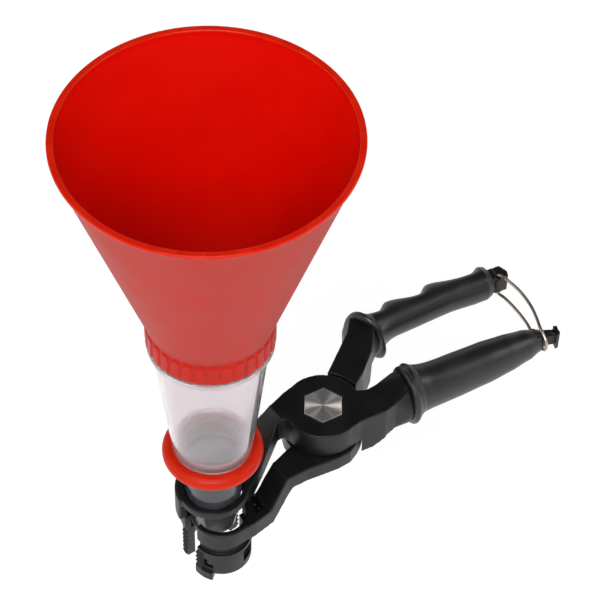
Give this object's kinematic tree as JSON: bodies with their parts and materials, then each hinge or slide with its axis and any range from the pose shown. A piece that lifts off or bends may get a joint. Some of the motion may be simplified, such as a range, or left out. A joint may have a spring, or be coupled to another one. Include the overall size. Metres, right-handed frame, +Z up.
{
  "type": "clamp funnel",
  "caption": "Wide red funnel bowl on a clear sight tube and tapered spout, held by black crossed levers whose half-round toothed jaws spread inside a filler neck.",
  "frame": {"origin": "on the funnel axis, in the plane of the stop faces that rest on the filler neck", "axes": "+Z up the funnel axis, +X from the funnel axis to the handle ends, +Y to the rear handle"},
  "size_m": [0.2717, 0.1354, 0.3038],
  "materials": {
    "red_plastic": "fine frosted outside, smooth inside",
    "nut_plastic": "smooth moulded",
    "clear_plastic": "clear polished",
    "smoky_plastic": "smoky clear",
    "seal_rubber": "matte",
    "black_plastic": "satin moulded",
    "grip_rubber": "soft satin",
    "steel": "turned face",
    "spring_steel": "drawn wire"
  },
  "bodies": {
    "upper_lever_body": {"upper_lever": "black_plastic", "rear_jaw": "black_plastic", "front_grip": "grip_rubber", "pivot_bolt": "steel", "head_washer": "steel", "pivot_bush": "steel", "torsion_spring": "spring_steel"},
    "lower_lever_body": {"lower_lever": "black_plastic", "front_jaw": "black_plastic", "rear_grip": "grip_rubber", "pivot_nut": "steel", "nut_washer": "steel"},
    "bail_body": {"wire_bail": "spring_steel"},
    "tube_body": {"sight_tube": "clear_plastic", "spout": "smoky_plastic", "spout_seal": "seal_rubber"},
    "nut_body": {"tube_nut": "nut_plastic"},
    "bowl_body": {"funnel_bowl": "red_plastic", "bowl_seal": "seal_rubber"}
  },
  "joints": [
    {"name": "jaw_pivot", "type": "hinge", "parent": "upper_lever_body", "child": "lower_lever_body", "pos_m": [0.066, -0.0023, 0.028], "axis": [0, 0, 1], "range_deg": [0, 10]},
    {"name": "bail_swing", "type": "hinge", "parent": "lower_lever_body", "child": "bail_body", "pos_m": [0.1972, 0.0183, 0.0312], "axis": [0, 0, 1], "range_deg": [-5, 130]},
    {"name": "funnel_lift", "type": "slide", "parent": "upper_lever_body", "child": "tube_body", "axis": [0, 0, 1], "range_m": [0, 0.09]},
    {"name": "nut_turn", "type": "hinge", "parent": "tube_body", "child": "nut_body", "pos_m": [0, 0, 0.055], "axis": [0, 0, 1], "range_deg": [-360, 0]},
    {"name": "bowl_lift", "type": "slide", "parent": "tube_body", "child": "bowl_body", "axis": [0, 0, 1], "range_m": [0, 0.03]}
  ],
  "couplings": [
    {"joint": "bail_swing", "follows": "jaw_pivot", "ratio": 12}
  ]
}
